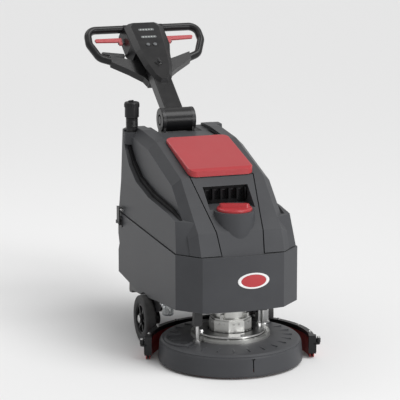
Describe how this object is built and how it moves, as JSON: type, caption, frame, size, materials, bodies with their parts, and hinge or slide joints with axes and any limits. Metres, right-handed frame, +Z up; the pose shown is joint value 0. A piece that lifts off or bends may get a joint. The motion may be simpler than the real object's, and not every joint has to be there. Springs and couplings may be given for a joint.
{
  "type": "walk-behind floor scrubber",
  "caption": "Walk-behind battery floor scrubber with a round brush deck, swinging curved squeegee, tilting recovery tank with a red lid, and a folding loop handle.",
  "frame": {"origin": "on the floor, on the axis of the round scrub deck", "axes": "+Z up, -Y the front of the machine, +Y towards the operator, +X to the machine's left as seen by the operator facing -Y"},
  "size_m": [0.5797, 1.2877, 0.993],
  "materials": {
    "body_grey": "satin, light texture",
    "trim_black": "satin",
    "red_plastic": "satin gloss",
    "seal_rubber": "matte",
    "blade_rubber": "matte",
    "tyre_rubber": "matte",
    "frame_steel": "powder coat",
    "bright_steel": "brushed",
    "cast_aluminium": "satin",
    "pad_fabric": "coarse",
    "battery_case": "satin",
    "lens_clear": "clear",
    "lens_panel": "satin",
    "board_green": "satin"
  },
  "bodies": {
    "chassis": {"solution_tank": "body_grey", "front_badge": "red_plastic", "batteries": "battery_case", "vacuum_motor": "cast_aluminium", "vent_grille": "trim_black", "chassis_tray": "frame_steel", "handle_column": "frame_steel", "knuckle_pin": "trim_black", "wheel_brackets": "frame_steel", "deck_hangers": "frame_steel", "latch_bases": "bright_steel", "water_strainer": "lens_clear"},
    "recovery": {"recovery_tank": "body_grey", "swoosh_inlays": "trim_black", "lid_gasket": "seal_rubber", "lid_hinges": "bright_steel", "float_filter": "lens_clear", "drain_hose": "trim_black", "latch_keepers": "bright_steel"},
    "lid": {"recovery_lid": "red_plastic"},
    "fill_cap": {"solution_cap": "red_plastic"},
    "hose_cap": {"drain_cap": "trim_black"},
    "handle": {"handle_post": "trim_black", "dash_base": "trim_black", "dash_cover": "trim_black", "control_board": "board_green", "indicator_lenses": "lens_panel", "handle_grip_left": "trim_black", "handle_grip_right": "trim_black"},
    "key": {"key_switch": "bright_steel"},
    "button_brush": {"brush_button": "lens_panel"},
    "button_vacuum": {"vacuum_button": "lens_panel"},
    "drive_paddle_left": {"paddle_left": "red_plastic"},
    "drive_paddle_right": {"paddle_right": "red_plastic"},
    "water_lever": {"flow_lever": "red_plastic"},
    "latch_left": {"latch_lever_left": "bright_steel"},
    "latch_right": {"latch_lever_right": "bright_steel"},
    "wheel_left": {"wheel_hub_left": "trim_black", "tyre_left": "tyre_rubber"},
    "wheel_right": {"wheel_hub_right": "trim_black", "tyre_right": "tyre_rubber"},
    "caster_left": {"caster_fork_left": "bright_steel"},
    "caster_right": {"caster_fork_right": "bright_steel"},
    "caster_roll_left": {"caster_wheel_left": "tyre_rubber"},
    "caster_roll_right": {"caster_wheel_right": "tyre_rubber"},
    "deck": {"deck_cover": "body_grey", "deck_skirt": "body_grey", "swivel_ring": "cast_aluminium", "gear_motor": "cast_aluminium", "deck_guides": "bright_steel"},
    "pedal": {"lift_pedal": "frame_steel"},
    "pad": {"pad_driver": "trim_black", "scrub_pad": "pad_fabric"},
    "squeegee": {"squeegee_arm": "bright_steel", "squeegee_holder": "trim_black", "front_blade": "blade_rubber", "rear_blade": "blade_rubber", "blade_straps": "bright_steel"},
    "roller_left": {"guard_roller_left": "trim_black"},
    "roller_right": {"guard_roller_right": "trim_black"}
  },
  "joints": [
    {"name": "tank_tilt", "type": "hinge", "parent": "chassis", "child": "recovery", "pos_m": [0, -0.1365, 0.3885], "axis": [1, 0, 0], "range_deg": [0, 60]},
    {"name": "lid_open", "type": "hinge", "parent": "recovery", "child": "lid", "pos_m": [0, 0.383, 0.68076], "axis": [-1, 0, 0], "range_deg": [0, 75]},
    {"name": "fill_cap_turn", "type": "hinge", "parent": "chassis", "child": "fill_cap", "pos_m": [0, -0.04, 0.5175], "axis": [0, 0, 1], "range_deg": [0, 90]},
    {"name": "hose_cap_turn", "type": "hinge", "parent": "recovery", "child": "hose_cap", "pos_m": [-0.163, 0.598, 0.758], "axis": [0, 0, 1], "range_deg": [0, 90]},
    {"name": "handle_fold", "type": "hinge", "parent": "chassis", "child": "handle", "pos_m": [0, 0.603, 0.705], "axis": [1, 0, 0], "range_deg": [-15, 60]},
    {"name": "key_turn", "type": "hinge", "parent": "handle", "child": "key", "pos_m": [0, 0.8177, 0.8753], "axis": [0, -0.5225, 0.8526], "range_deg": [0, 90]},
    {"name": "brush_press", "type": "slide", "parent": "handle", "child": "button_brush", "axis": [0, 0.5225, -0.8526], "range_m": [0, 0.003], "stiffness_N_per_m": 600, "springref_m": -0.001},
    {"name": "vacuum_press", "type": "slide", "parent": "handle", "child": "button_vacuum", "axis": [0, 0.5225, -0.8526], "range_m": [0, 0.003], "stiffness_N_per_m": 600, "springref_m": -0.001},
    {"name": "paddle_left_pull", "type": "hinge", "parent": "handle", "child": "drive_paddle_left", "pos_m": [-0.086, 0.98875, 0.92133], "axis": [1, 0, 0], "range_deg": [0, 14], "stiffness_Nm_per_rad": 0.6, "springref_deg": -2.86},
    {"name": "paddle_right_pull", "type": "hinge", "parent": "handle", "child": "drive_paddle_right", "pos_m": [0.086, 0.98875, 0.92133], "axis": [1, 0, 0], "range_deg": [0, 14], "stiffness_Nm_per_rad": 0.6, "springref_deg": -2.86},
    {"name": "water_lever_lift", "type": "hinge", "parent": "handle", "child": "water_lever", "pos_m": [-0.094, 0.95764, 0.88138], "axis": [1, 0, 0], "range_deg": [0, 20]},
    {"name": "latch_left_open", "type": "hinge", "parent": "chassis", "child": "latch_left", "pos_m": [-0.2182, 0.588, 0.352], "axis": [0, -1, 0], "range_deg": [0, 80]},
    {"name": "latch_right_open", "type": "hinge", "parent": "chassis", "child": "latch_right", "pos_m": [0.2182, 0.588, 0.352], "axis": [0, 1, 0], "range_deg": [0, 80]},
    {"name": "wheel_left_spin", "type": "hinge", "parent": "chassis", "child": "wheel_left", "pos_m": [-0.2104, 0.29, 0.081], "axis": [1, 0, 0], "continuous": true},
    {"name": "wheel_right_spin", "type": "hinge", "parent": "chassis", "child": "wheel_right", "pos_m": [0.2104, 0.29, 0.081], "axis": [1, 0, 0], "continuous": true},
    {"name": "caster_left_swivel", "type": "hinge", "parent": "chassis", "child": "caster_left", "pos_m": [-0.108, 0.555, 0.075], "axis": [0, 0, 1], "continuous": true},
    {"name": "caster_left_roll", "type": "hinge", "parent": "caster_left", "child": "caster_roll_left", "pos_m": [-0.108, 0.573, 0.028], "axis": [1, 0, 0], "continuous": true},
    {"name": "caster_right_swivel", "type": "hinge", "parent": "chassis", "child": "caster_right", "pos_m": [0.108, 0.555, 0.075], "axis": [0, 0, 1], "continuous": true},
    {"name": "caster_right_roll", "type": "hinge", "parent": "caster_right", "child": "caster_roll_right", "pos_m": [0.108, 0.573, 0.028], "axis": [1, 0, 0], "continuous": true},
    {"name": "deck_lift", "type": "slide", "parent": "chassis", "child": "deck", "axis": [0, 0, 1], "range_m": [0, 0.03]},
    {"name": "pedal_press", "type": "hinge", "parent": "chassis", "child": "pedal", "pos_m": [0, 0.4, 0.118], "axis": [-1, 0, 0], "range_deg": [0, 6.5]},
    {"name": "pad_spin", "type": "hinge", "parent": "deck", "child": "pad", "pos_m": [0, 0, 0.03], "axis": [0, 0, 1], "continuous": true},
    {"name": "squeegee_swing", "type": "hinge", "parent": "deck", "child": "squeegee", "pos_m": [0, 0, 0.102], "axis": [0, 0, 1], "range_deg": [-16, 47]},
    {"name": "roller_left_spin", "type": "hinge", "parent": "squeegee", "child": "roller_left", "pos_m": [-0.28288, 0.07633, 0.062], "axis": [0, 0, 1], "continuous": true},
    {"name": "roller_right_spin", "type": "hinge", "parent": "squeegee", "child": "roller_right", "pos_m": [0.28179, -0.08027, 0.062], "axis": [0, 0, 1], "continuous": true}
  ],
  "couplings": [
    {"joint": "pedal_press", "follows": "deck_lift", "rad_per_m": 3.767},
    {"joint": "paddle_left_pull", "follows": "paddle_right_pull", "ratio": 1}
  ]
}
